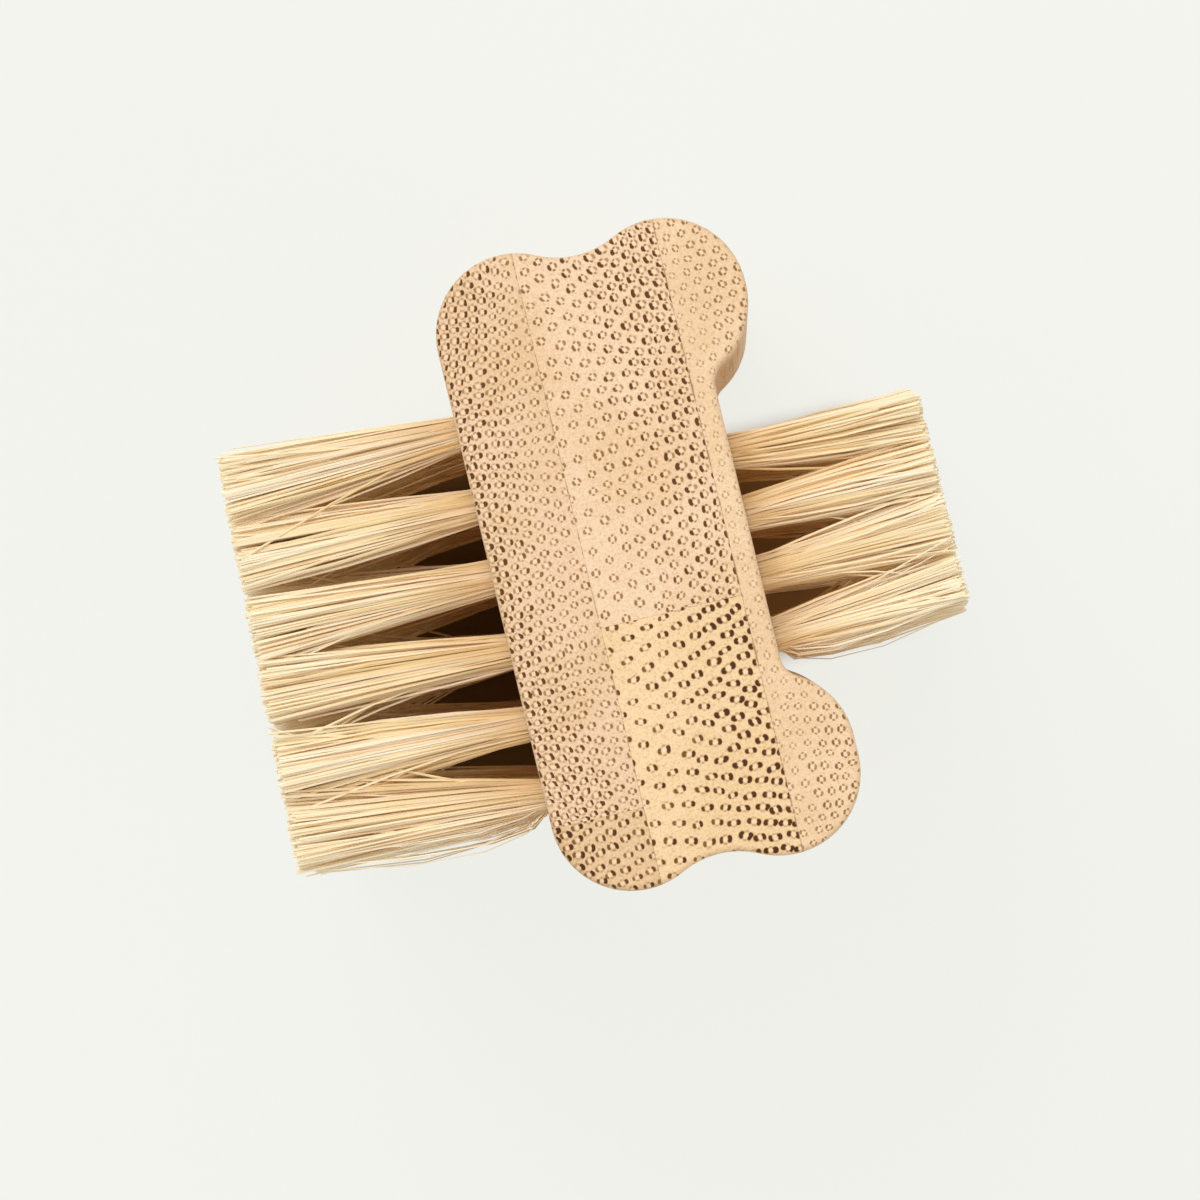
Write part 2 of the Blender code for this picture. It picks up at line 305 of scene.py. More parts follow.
def bundles(graph, place, grain):
    """The dark caps and the pale middle of the bundle nearest to a place, each from 0 to 1.

    The bundles stand on a triangular lattice that a power of the complex plane bends round the culm's middle,
    so that it grows denser outwards without a break.
    """
    x, y, _ = graph.split(place)
    from_x = graph.math("MULTIPLY_ADD", x, grain.outward, -grain.outward * grain.centre[0])
    from_y = graph.math("SUBTRACT", y, grain.centre[1])
    radius = graph.vector("LENGTH", graph.joined(from_x, from_y))
    turn = graph.times(graph.math("ARCTAN2", from_y, from_x), grain.power)
    lattice_turn = graph.math("ADD", turn, LATTICE_TURN)
    bent = graph.times(graph.math("POWER", radius, grain.power), grain.density)
    a = graph.times(bent, graph.math("COSINE", lattice_turn))
    b = graph.times(bent, graph.math("SINE", lattice_turn))
    row = graph.math("DIVIDE", b, ROW_STEP)
    column = graph.math("MULTIPLY_ADD", row, -0.5, a)
    cell = graph.add(
        "ShaderNodeTexVoronoi",
        {"Vector": graph.joined(column, row), "Scale": 1.0, "Randomness": LATTICE_JITTER},
        voronoi_dimensions="2D",
    )
    middle_column, middle_row, _ = graph.split(cell.outputs["Position"])
    chance = graph.split(cell.outputs["Color"])

    middle_a = graph.math("MULTIPLY_ADD", middle_row, 0.5, middle_column)
    middle_b = graph.times(middle_row, ROW_STEP)
    middle_bent = graph.vector("LENGTH", graph.joined(middle_a, middle_b))
    middle_radius = graph.math("POWER", graph.math("DIVIDE", middle_bent, grain.density), 1 / grain.power)
    outward = graph.ramp(middle_radius, grain.near, grain.far)
    darkening = graph.step(outward, DARK_FROM, 1.0)

    row_offset = graph.math("SUBTRACT", row, middle_row)
    column_offset = graph.math("SUBTRACT", column, middle_column)
    flat = graph.scaled(
        graph.joined(
            graph.math("MULTIPLY_ADD", row_offset, 0.5, column_offset),
            graph.times(row_offset, ROW_STEP),
        ),
        graph.math("DIVIDE", middle_radius, graph.times(middle_bent, grain.power)),
    )
    lean = graph.math("SUBTRACT", graph.between(chance[1], BUNDLE_LEAN), lattice_turn)
    turned = graph.add("ShaderNodeVectorRotate", {"Vector": flat, "Angle": lean}, rotation_type="Z_AXIS")
    along, across, _ = graph.split(turned.outputs[0])
    size = graph.times(graph.between(outward, grain.size), graph.between(chance[0], BUNDLE_SIZE))
    u = graph.math("DIVIDE", along, graph.times(size, graph.between(outward, grain.stretch)))
    v = graph.math("ABSOLUTE", graph.math("DIVIDE", across, size))

    reach = graph.vector("LENGTH", graph.joined(u, v))
    pale = graph.step(reach, *PALE_EDGE)
    band = graph.times(graph.step(reach, *RING_INNER_EDGE), graph.step(reach, *RING_OUTER_EDGE))
    dark = graph.times(band, graph.between(darkening, grain.ring))
    vigour = graph.between(chance[2], BUNDLE_VIGOUR)
    for strengths, (centre, radii) in zip(grain.caps, CAP_PLACES):
        strength = graph.times(graph.between(darkening, strengths), vigour)
        dark = graph.math("MAXIMUM", dark, soft_spot(graph, u, v, centre, radii, strength))
    return graph.times(dark, graph.between(pale, (1.0, DARK_IN_PALE))), pale


def make_bamboo(name, ground_tones, cap_tones, grain, seams):
    """Bamboo, sawn across on the ends and planed along its fibres on the sides, with glue at its seams."""
    material, graph, shader = new_material(name)
    x, y, z = graph.place()
    drawn_out = graph.joined(x, y, graph.times(z, BUNDLE_ALONG))
    wander = graph.vector("SUBTRACT", graph.noise(drawn_out, WANDER_SCALE)["Color"], (0.5, 0.5, 0.5))
    dark, pale = bundles(graph, graph.vector("ADD", drawn_out, graph.scaled(wander, WANDER)), grain)
    facing = graph.split(graph.add("ShaderNodeTexCoord").outputs["Normal"])[2]
    on_end = graph.step(graph.math("ABSOLUTE", facing), *SAWN)

    blotch = graph.step(graph.noise(drawn_out, BLOTCH_SCALE, detail=3.0)["Fac"], *BLOTCH_EDGE)
    ground = graph.blend(blotch, *ground_tones)
    speck_place = graph.joined(x, y, graph.times(z, SPECK_ALONG))
    speckle = graph.noise(speck_place, SPECK_SCALE, detail=3.0, roughness=0.75)["Fac"]
    ground = graph.blend(graph.step(speckle, *DARK_SPECKS, end=DARK_SPECK_SHARE), ground, cap_tones[0])
    ground = graph.blend(graph.step(speckle, *PALE_SPECKS, end=PALE_SPECK_SHARE), ground, PALE_PITH)
    ground = graph.blend(graph.times(pale, graph.times(on_end, PALE_MIDDLE_SHARE)), ground, PALE_PITH)

    seen = graph.times(dark, graph.between(on_end, (DARK_ON_SIDES, 1.0)))
    colour = graph.blend(graph.step(seen, *CAP_BROWN), ground, cap_tones[0])
    colour = graph.blend(graph.step(seen, *CAP_DARKEST), colour, cap_tones[1])
    glue_place = graph.joined(0.0, y, graph.times(z, GLUE_ALONG))
    patches = graph.noise(glue_place, GLUE_SCALE, detail=3.0, roughness=0.7)["Fac"]
    soaked = graph.step(patches, *GLUE_PATCHES)
    for seam_x, strength in seams:
        distance = graph.math("ABSOLUTE", graph.math("SUBTRACT", x, seam_x))
        stain = graph.times(graph.step(distance, GLUE_REACH, 0.0, end=strength), soaked)
        colour = graph.blend(stain, colour, GLUE_BROWN)
    graph.put(shader.inputs["Base Color"], colour)
    graph.put(shader.inputs["Roughness"], graph.between(dark, WOOD_ROUGHNESS))
    height = graph.math("MULTIPLY_ADD", speckle, SPECK_RISE, graph.times(dark, CAP_RISE))
    bump = graph.add("ShaderNodeBump", {"Height": height, "Strength": BUMP_STRENGTH, "Distance": BUMP_DEPTH})
    graph.put(shader.inputs["Normal"], bump.outputs[0])
    shader.inputs["Specular IOR Level"].default_value = 0.2
    return material


def make_bamboos():
    """The materials of the five strips, by node."""
    face_x, face_seam, waist_seam = (v / MM for v in (FLAT_FACE_X, FACE_SEAM_X, WAIST_SEAM_X))
    lobe_x = face_x + BLOCK_THICKNESS / MM
    face_glue, waist_glue = (face_seam, 0.35), (waist_seam, 0.75)
    brown = linear(176, 131, 84), linear(94, 58, 24)
    deep_brown = linear(166, 120, 68), linear(74, 42, 14)
    light_brown = linear(188, 147, 103), linear(128, 90, 54)
    return {
        "face_strip_wide": make_bamboo(
            "bamboo_face_wide", (linear(237, 203, 167), linear(229, 193, 150)), brown,
            Grain(
                centre=(58.0, 2.0), inner_x=face_seam, outer_x=face_x, spacing=(0.98, 0.68),
                size=(0.25, 0.255), stretch=(1.05, 1.15), inner_cap=(0.62, 1.05), outer_cap=(0.5, 0.5),
                side_caps=(0.45, 0.38), ring=(0.14, 0.28),
            ),
            (face_glue,),
        ),
        "face_strip_narrow": make_bamboo(
            "bamboo_face_narrow", (linear(229, 194, 150), linear(217, 181, 134)), deep_brown,
            Grain(
                centre=(40.0, -13.0), inner_x=face_seam, outer_x=face_x, spacing=(1.0, 0.74),
                size=(0.26, 0.27), stretch=(1.15, 1.2), inner_cap=(0.85, 1.1), outer_cap=(0.65, 0.7),
                side_caps=(0.35, 0.3), ring=(0.2, 0.3),
            ),
            (face_glue,),
        ),
        "core_strip_wide": make_bamboo(
            "bamboo_core_wide", (linear(241, 209, 174), linear(235, 199, 157)), brown,
            Grain(
                centre=(-62.0, -1.0), inner_x=face_seam, outer_x=waist_seam, spacing=(1.34, 0.8),
                size=(0.265, 0.275), stretch=(1.05, 1.02), inner_cap=(0.58, 1.1), outer_cap=(0.56, 0.45),
                side_caps=(0.5, 0.5), ring=(0.1, 0.2),
            ),
            (face_glue, waist_glue),
        ),
        "core_strip_narrow": make_bamboo(
            "bamboo_core_narrow", (linear(244, 211, 165), linear(239, 204, 155)), deep_brown,
            Grain(
                centre=(-42.0, -10.0), inner_x=face_seam, outer_x=waist_seam, spacing=(1.4, 0.97),
                size=(0.26, 0.275), stretch=(1.28, 1.35), inner_cap=(0.68, 1.0), outer_cap=(0.86, 1.15),
                side_caps=(0.35, 0.3), ring=(0.2, 0.3),
            ),
            (face_glue, waist_glue),
        ),
        "waist_strip": make_bamboo(
            "bamboo_waist", (linear(240, 207, 168), linear(234, 199, 156)), light_brown,
            Grain(
                centre=(-60.0, 1.0), inner_x=waist_seam, outer_x=lobe_x, spacing=(0.98, 0.86),
                size=(0.225, 0.235), stretch=(1.0, 1.05), inner_cap=(0.42, 0.75), outer_cap=(0.42, 0.6),
                side_caps=(0.42, 0.62), ring=(0.05, 0.12),
            ),
            (waist_glue,),
        ),
    }


# Block

def arc(centre, radius, start, end, steps):
    """Points along an arc, both ends included, turning the short way from one direction to the other."""
    turn = (end - start + math.pi) % math.tau - math.pi
    angles = [start + turn * step / steps for step in range(steps + 1)]
    return [(centre[0] + radius * math.cos(a), centre[1] + radius * math.sin(a)) for a in angles]


def direction(origin, target):
    return math.atan2(target[1] - origin[1], target[0] - origin[0])


def half_outline(crest):
    """The end face's outline at +Y, from the flat face round to the waist. X is counted from the flat face.

    The finger groove is an arc that touches the corner's and the lobe's, and the fillet touches the lobe's
    arc and the waist.
    """
    corner = (CORNER_RADIUS, HALF_WIDTH - CORNER_RADIUS)
    lobe = (BLOCK_THICKNESS - LOBE_RADIUS, HALF_WIDTH - LOBE_RADIUS)
    inner_lobe = (lobe[0], lobe[1] - crest)
    reach = (lobe[0] - corner[0]) / math.sqrt(GRIP_DEPTH)
    root = (reach + 2 * (CORNER_RADIUS - LOBE_RADIUS) / reach) / 2
    grip_radius = (root**2 + GRIP_DEPTH) / 2 - CORNER_RADIUS
    grip = (corner[0] + root * math.sqrt(GRIP_DEPTH), HALF_WIDTH - GRIP_DEPTH + grip_radius)
    fillet_x = WAIST_THICKNESS + WAIST_FILLET
    fillet_reach = math.sqrt((LOBE_RADIUS + WAIST_FILLET) ** 2 - (fillet_x - lobe[0]) ** 2)
    fillet = (fillet_x, inner_lobe[1] - fillet_reach)
    points = arc(corner, CORNER_RADIUS, math.pi, direction(corner, grip), ARC_STEPS)
    points += arc(grip, grip_radius, direction(grip, corner), direction(grip, lobe), ARC_STEPS)[1:]
    points += arc(lobe, LOBE_RADIUS, direction(lobe, grip), 0, ARC_STEPS)[1:]
    points += arc(inner_lobe, LOBE_RADIUS, 0, direction(inner_lobe, fillet), ARC_STEPS)
    points += arc(fillet, WAIST_FILLET, direction(fillet, inner_lobe), math.pi, ARC_STEPS)[1:]
    return points


def block_outline():
    """The whole outline as points at even steps, with the outward direction at each."""
    slim_half = half_outline(SLIM_LOBE_CREST)
    full_half = [(x, -y) for x, y in half_outline(FULL_LOBE_CREST)]
    points = even_steps(np.array(slim_half + full_half[::-1] + slim_half[:1]), OUTLINE_POINTS + 1)[:-1]
    tangent = np.roll(points, -1, axis=0) - np.roll(points, 1, axis=0)
    outward = np.stack([-tangent[:, 1], tangent[:, 0]], axis=1)
    outward /= np.linalg.norm(outward, axis=1, keepdims=True)
    points[:, 0] += FLAT_FACE_X
    return points, outward


def distances(points):
    """How far along a line of points each of them lies."""
    return np.concatenate([[0], np.cumsum(np.linalg.norm(np.diff(points, axis=0), axis=1))])


def even_steps(points, count):
    """That many points at even steps along a line of points."""
    gone = distances(points)
    places = np.linspace(0, gone[-1], count)
    return np.stack([np.interp(places, gone, points[:, axis]) for axis in (0, 1)], axis=1)


def turning_points(lines):
    """Which points of several like lines are needed: their ends, and where any of them turns."""
    steps = np.diff(lines, axis=1)
    steps /= np.linalg.norm(steps, axis=2, keepdims=True)
    before, after = steps[:, :-1], steps[:, 1:]
    turns = np.abs(before[:, :, 0] * after[:, :, 1] - before[:, :, 1] * after[:, :, 0]).max(axis=0)
    return np.concatenate([[True], turns > LEAST_TURN, [True]])


def skin(bm, rings):
    """Joins each ring of points to the next with faces, and closes the first and the last."""
    made = [[bm.verts.new(point) for point in ring] for ring in rings]
    for lower, upper in zip(made, made[1:]):
        for index in range(len(lower)):
            after = (index + 1) % len(lower)
            bm.faces.new((lower[index], lower[after], upper[after], upper[index]))
    bm.faces.new(made[0])
    bm.faces.new(made[-1])


def finished_mesh(name, bm):
    """The mesh that was built, with its faces turned outwards."""
    bmesh.ops.recalc_face_normals(bm, faces=bm.faces[:])
    mesh = bpy.data.meshes.new(name)
    bm.to_mesh(mesh)
    bm.free()
    return mesh


def add_object(name, data):
    obj = bpy.data.objects.new(name, data)
    bpy.context.scene.collection.objects.link(obj)
    return obj


class Cut:
    """A glued face of a strip, across an axis. The strip lies above or below it."""

    def __init__(self, axis, place, above):
        self.axis = axis
        self.side = 1 if above else -1
        self.limit = place + self.side * SEAM / 2

    def edge(self, wear):
        """Where the face meets the sawn end, from 0, sharp, to 1, worn."""
        return self.limit + self.side * SEAM_EDGE * wear

    def room(self, points, wear):
        """How far points lie inside the strip."""
        return self.side * (points[:, self.axis] - self.edge(wear))


def strip_section(outline, cuts, meetings, rim_inset, wear):
    """A strip at one height: its stretch of the block's outline, and the corners where glued faces meet."""
    points, outward = outline
    points = points - rim_inset * outward
    room = np.min([cut.room(points, wear) for cut in cuts], axis=0)
    inside = room > 0
    first = int(np.flatnonzero(inside & ~np.roll(inside, 1))[0])
    points, room, inside = (np.roll(values, -first, axis=0) for values in (points, room, inside))
    count = int(inside.sum())
    start = points[0] + (points[-1] - points[0]) * room[0] / (room[0] - room[-1])
    last, beyond = points[count - 1], points[count]
    end = last + (beyond - last) * room[count - 1] / (room[count - 1] - room[count])
    stretch = np.vstack([start, points[:count], end])
    return stretch, [[x_cut.edge(wear), y_cut.edge(wear)] for x_cut, y_cut in meetings]


def make_strip_mesh(name, outline, cuts, meetings):
    """A strip as a closed mesh of rings up its length, with rounded rims and just broken glued edges."""
    levels = []
    for step in range(RIM_STEPS + 1):
        angle = math.pi / 2 * step / RIM_STEPS
        wear = 1 if step == RIM_STEPS else 0
        levels.append((RIM_ROUND * (1 - math.sin(angle)), RIM_ROUND * (1 - math.cos(angle)), wear))
    sections = [strip_section(outline, cuts, meetings, inset, wear) for _, inset, wear in levels]
    count = round(distances(sections[0][0])[-1] / FACET_LENGTH)
    stretches = np.array([even_steps(stretch, count) for stretch, _ in sections])
    stretches = stretches[:, turning_points(stretches)]
    rings = []
    for (depth, _, _), stretch, (_, inner_corners) in zip(levels, stretches, sections):
        rings.append((depth, stretch.tolist() + inner_corners))
    rings = rings[::-1] + [(BLOCK_LENGTH - depth, ring) for depth, ring in rings]
    bm = bmesh.new()
    skin(bm, [[(x, y, z) for x, y in ring] for z, ring in rings])
    mesh = finished_mesh(name, bm)
    mesh.shade_smooth()
    return mesh


def make_hole_cutter(side):
    """The round holes of every row on one side, as one object that goes once the strips are drilled."""
    bm = bmesh.new()
    outer = side.face_x + side.outward * (BLOCK_THICKNESS - WAIST_THICKNESS)
    inner = side.face_x - side.outward * HOLE_DEPTH
    angles = [math.tau * number / HOLE_SIDES for number in range(HOLE_SIDES)]
    circle = [(HOLE_RADIUS * math.cos(angle), HOLE_RADIUS * math.sin(angle)) for angle in angles]
    for row in side.rows:
        for height in tuft_heights():
            skin(bm, [[(x, row.base_y + y, height + z) for y, z in circle] for x in (outer, inner)])
    return add_object(f"{side.name}_holes", finished_mesh(f"{side.name}_holes", bm))


def apply_modifiers(obj):
    """Replaces the object's mesh by what its modifiers make of it."""
    evaluated = obj.evaluated_get(bpy.context.evaluated_depsgraph_get())
    obj.data = bpy.data.meshes.new_from_object(evaluated)
    obj.modifiers.clear()


def make_strip(node, mesh, cutter, material):
    """One bamboo strip of the block, drilled where the cutter goes."""
    strip = add_object(f"sanded_{node}", mesh)
    if cutter:
        drilled = strip.modifiers.new("drilled", "BOOLEAN")
        drilled.operation = "DIFFERENCE"
        drilled.solver = "EXACT"
        drilled.object = cutter
        apply_modifiers(strip)
    strip.data.set_sharp_from_angle(angle=SHARP_ANGLE)
    weighted = strip.modifiers.new("even shading", "WEIGHTED_NORMAL")
    weighted.keep_sharp = True
    strip.data.materials.clear()
    strip.data.materials.append(material)
    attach(strip, "root")
    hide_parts(node)


def make_strips(sides):
    outline = block_outline()
    long_cutter, short_cutter = (make_hole_cutter(side) for side in sides)
    bamboos = make_bamboos()
    under_face_seam, over_face_seam = (Cut(0, FACE_SEAM_X, above) for above in (False, True))
    under_waist_seam, over_waist_seam = (Cut(0, WAIST_SEAM_X, above) for above in (False, True))
    under_face_butt, over_face_butt = (Cut(1, FACE_BUTT_Y, above) for above in (False, True))
    under_core_butt, over_core_butt = (Cut(1, CORE_BUTT_Y, above) for above in (False, True))
    for node, slot, cuts, meetings, cutter in (
        (
            "face_strip_wide", "bamboo_face", (under_face_seam, over_face_butt),
            ((under_face_seam, over_face_butt),), long_cutter,
        ),
        (
            "face_strip_narrow", "bamboo_yellow", (under_face_seam, under_face_butt),
            ((under_face_seam, under_face_butt),), None,
        ),
        (
            "core_strip_wide", "bamboo_core", (over_face_seam, under_waist_seam, over_core_butt),
            ((under_waist_seam, over_core_butt), (over_face_seam, over_core_butt)), short_cutter,
        ),
        (
            "core_strip_narrow", "bamboo_yellow", (over_face_seam, under_waist_seam, under_core_butt),
            ((over_face_seam, under_core_butt), (under_waist_seam, under_core_butt)), short_cutter,
        ),
        ("waist_strip", "bamboo_core", (over_waist_seam,), (), short_cutter),
    ):
        mesh = make_strip_mesh(node, outline, cuts, meetings)
        make_strip(node, mesh, cutter, bamboos[node])
    for cutter in (long_cutter, short_cutter):
        bpy.data.objects.remove(cutter, do_unlink=True)


# Tufts

# One fibre: where it starts over the bottom of its hole, the shares of its free length at which its path has
# points, its radius in mm, how that tapers from point to point, how flat it may be, how far it bends at
# random, and how much it springs outwards at its middle
FIBRE_START = 0.3 * MM
PATH_SHARES = (0.0, 0.1, 0.28, 0.58, 1.0)
FIBRE_SIDES = 4
FIBRE_RADIUS = (0.07, 0.108)
FIBRE_TAPER = (0.9, 1.0, 1.0, 1.0, 0.97, 0.92)
FIBRE_FLATNESS = (0.7, 1.0)
FIBRE_BEND = 0.13 * MM
FIBRE_SPRING = 0.04

# One tuft: how its fibres spread, and how far they, their clumps and the whole tuft stray from that. The
# tufts at the block's ends, which the camera sees, have more fibres.
SEED = 11
GOLDEN_ANGLE = math.pi * (3 - math.sqrt(5))
BASE_SCATTER = 0.04 * MM
TIP_SCATTER = 0.26 * MM
TIP_CROWDING = 0.9
CLUMPS = 13
CLUMP_LEAN = 0.3 * MM
TUFT_LEAN = 0.15 * MM
END_TUFT_PITCHES = 1.5
END_TUFT_SHARE = 2.3

# Strays: their share at the block's ends, how much it grows inwards and how fast, how far they go across and
# along the block, how late they leave the tuft, and how much more they bend
STRAYS, MORE_INNER_STRAYS, STRAY_GROWTH = 0.02, 0.04, 3
STRAY_SPREAD = (2.0 * MM, 1.2 * MM)
STRAY_EASE = 1.7
STRAY_BEND = 1.6

# Fine fibres that hang out of the outer rows, by the way along Y that the row faces: their share in it and
# how far they bow out. Then their offset at the tip, when the bow comes, and how thin and pale they are.
FRINGES = {1: (0.03, 0.2 * MM), -1: (0.14, 0.75 * MM), 0: (0.0, 0.0)}
FINE_OFFSET = 0.5 * MM
FINE_BOW_EARLY = (0.4, 0.8)
FINE_THICKNESS = 0.6
FINE_PALER = 0.3

# Trim: how far under the plane of the tips it lies, how uneven it is, how much further out along Y the tufts
# reach away from the block's ends and how fast that grows, how far tips beyond that turn back, and the share
# of fibres that fall short and by how many mm
TRIM_ALLOWANCE = 0.03 * MM
TRIM_UNEVENNESS = 0.15 * MM
FRINGE_ROOM, FRINGE_GROWTH = 0.9 * MM, 2
TURN_BACK = 1.4
SHORT_SHARE = 0.03
SHORT_BY = (0.3, 4.0)

# Tones from 0, brown, to 1, pale: middle and scatter of the clumps', and the single fibres' scatter. Then the
# colours by tone.
CLUMP_TONE, CLUMP_TONE_SCATTER = 0.52, 0.19
FIBRE_TONE_SCATTER = 0.1
FIBRE_TONES = (
    (0.05, linear(234, 204, 146)),
    (0.3, linear(246, 224, 174)),
    (0.6, linear(251, 234, 200)),
    (0.95, linear(254, 244, 222)),
)
FIBRE_ROUGHNESS = (0.42, 0.62)

# A mottle over the fibres: its share in their tone, its features to the mm, and how X draws it out
MOTTLE_SHARE, MOTTLE_SCALE, MOTTLE_ALONG = 0.2, 1.4, 0.15

# Painted light and painted shade: how fibres pale from their middle to the tip in place of the light there,
# and turn brown from there to the wood in place of the shade at the roots
MIDDLE, TIP_LIGHT_SHARE, ROOT_SHADE_SHARE = 0.5, 0.5, 0.5
TIP_PAINTED_LIGHT = linear(255, 245, 218)
ROOT_PAINTED_SHADE = linear(216, 172, 106)

# Wire: its tones and roughness, its streaks' features to the mm, and how X and Z change that
WIRE_TONES = linear(150, 152, 156), linear(206, 208, 212)
WIRE_ROUGHNESS = (0.25, 0.5)
STREAK_SCALE, STREAK_X, STREAK_Z = 3.0, 6.0, 0.3


class Row:
    """One row of tufts: its CAD nodes, where it leaves the wood and where its tips end."""

    def __init__(self, side_name, number, outward):
        self.node = f"{side_name}_bristle_row_{number}"
        self.anchor_node = f"{side_name}_row_anchor_{number}"
        anchor_low, anchor_high = corners(self.anchor_node)
        low, high = corners(self.node)
        self.base_y = (anchor_low.y + anchor_high.y) / 2
        self.tip_x = low.x if outward < 0 else high.x
        self.tip_y = (low.y + high.y) / 2


class Side:
    """The rows on one side of the block, and what their fibres are like."""

    def __init__(self, name, rows, face_x, outward, tip_radius, tip_room, fibres):
        self.name = name
        self.face_x = face_x
        self.outward = outward
        self.tip_radius = tip_radius
        self.fibres = fibres
        self.rows = [Row(name, number + 1, outward) for number in range(rows)]
        self.middle_y = (self.rows[0].tip_y + self.rows[-1].tip_y) / 2
        self.reach_y = abs(self.rows[0].tip_y - self.middle_y) + tip_room

    def away(self, row):
        """Which way along Y an outer row faces, and 0 for an inner one."""
        if row not in (self.rows[0], self.rows[-1]):
            return 0
        return 1 if row.tip_y > self.middle_y else -1

    def trim_x(self, tip_y):
        """Where a fibre that ends at that Y was trimmed: all tips lie in one slightly slanted plane."""
        first, last = self.rows[0], self.rows[-1]
        slope = (last.tip_x - first.tip_x) / (last.tip_y - first.tip_y)
        return first.tip_x + slope * (tip_y - first.tip_y) - self.outward * TRIM_ALLOWANCE


def tuft_heights():
    return [END_MARGIN + TUFT_PITCH * number for number in range(TUFTS_PER_ROW)]


def spread_tuft(side, count, random):
    """Where a tuft's fibres leave the wood and end, from its middle, and the clump that each belongs to."""
    number = np.arange(count)
    share = np.sqrt((number + 0.5) / count)
    angle = number * GOLDEN_ANGLE + random.uniform(0, math.tau)
    around = np.stack([np.cos(angle), np.sin(angle)], 1)
    base = TUFT_RADIUS * share[:, None] * around + random.normal(0, BASE_SCATTER, (count, 2))
    place = (angle % math.tau) / math.tau * CLUMPS
    clump = (place + random.uniform(-0.5, 0.5, count)).astype(int) % CLUMPS
    lean = random.normal(0, CLUMP_LEAN, (CLUMPS, 2))[clump] + random.normal(0, TUFT_LEAN, 2)
    tip = side.tip_radius * share[:, None] ** TIP_CROWDING * around + lean
    return base, tip + random.normal(0, TIP_SCATTER, (count, 2)), clump


def trimmed(side, tip_y, inward, random):
    """X and Y of a tuft's tips after the trim."""
    off_middle = tip_y - side.middle_y
    limit = side.reach_y + FRINGE_ROOM * min(1, FRINGE_GROWTH * inward)
    beyond = np.maximum(0, np.abs(off_middle) - limit)
    tip_y = side.middle_y + np.sign(off_middle) * (np.abs(off_middle) - TURN_BACK * beyond)
    uneven = random.normal(0, TRIM_UNEVENNESS, len(tip_y))
    uneven = uneven.clip(-3 * TRIM_UNEVENNESS, 2 * TRIM_UNEVENNESS)
    tip_x = side.trim_x(tip_y) + side.outward * uneven
    short = random.random(len(tip_y)) < SHORT_SHARE
    tip_x[short] -= side.outward * random.uniform(*SHORT_BY, int(short.sum())) * MM
    return tip_x, tip_y


def tuft_paths(side, row, height, random):
    """Paths of one tuft's fibres from the bottom of the hole to the trimmed tips, the clump that each belongs
    to, and which ones are fine."""
    at_end = min(height, BLOCK_LENGTH - height) < TUFT_PITCH * END_TUFT_PITCHES
    count = round(side.fibres * (END_TUFT_SHARE if at_end else 1))
    base, tip, clump = spread_tuft(side, count, random)

    inward = min(height - END_MARGIN, BLOCK_LENGTH - END_MARGIN - height) / (BLOCK_LENGTH / 2)
    stray = random.random(count) < STRAYS + MORE_INNER_STRAYS * min(1, STRAY_GROWTH * inward)
    for axis, spread in enumerate(STRAY_SPREAD):
        tip[stray, axis] += random.normal(0, spread, int(stray.sum()))
    away = side.away(row)
    fine_share, fine_bow = FRINGES[away]
    fine = random.random(count) < fine_share
    tip[fine, 0] += away * random.normal(FINE_OFFSET, FINE_OFFSET, int(fine.sum()))
    tip_x, tip_y = trimmed(side, row.tip_y + tip[:, 0], inward, random)

    bend = random.normal(0, FIBRE_BEND, (count, 2))
    bend[stray] *= STRAY_BEND
    hang = away * fine * np.abs(random.normal(0, fine_bow, count)).clip(0, 2 * fine_bow)
    hang_early = random.uniform(*FINE_BOW_EARLY, count)
    paths = np.zeros((count, len(PATH_SHARES) + 1, 3))
    bottom = side.face_x - side.outward * (HOLE_DEPTH - FIBRE_START)
    paths[:, 0] = np.stack([np.full(count, bottom), row.base_y + base[:, 0], height + base[:, 1]], 1)
    for index, part in enumerate(PATH_SHARES):
        bow = math.sin(math.pi * part)
        eased = np.where(stray, part**STRAY_EASE, part + FIBRE_SPRING * bow)
        across = base[:, 0] + (tip_y - row.base_y - base[:, 0]) * eased + bend[:, 0] * bow
        across += hang * np.sin(np.pi * part**hang_early)
        along = base[:, 1] + (tip[:, 1] - base[:, 1]) * eased + bend[:, 1] * bow
        outwards = side.face_x + (tip_x - side.face_x) * part
        paths[:, index + 1] = np.stack([outwards, row.base_y + across, height + along], 1)
    return paths, clump, fine


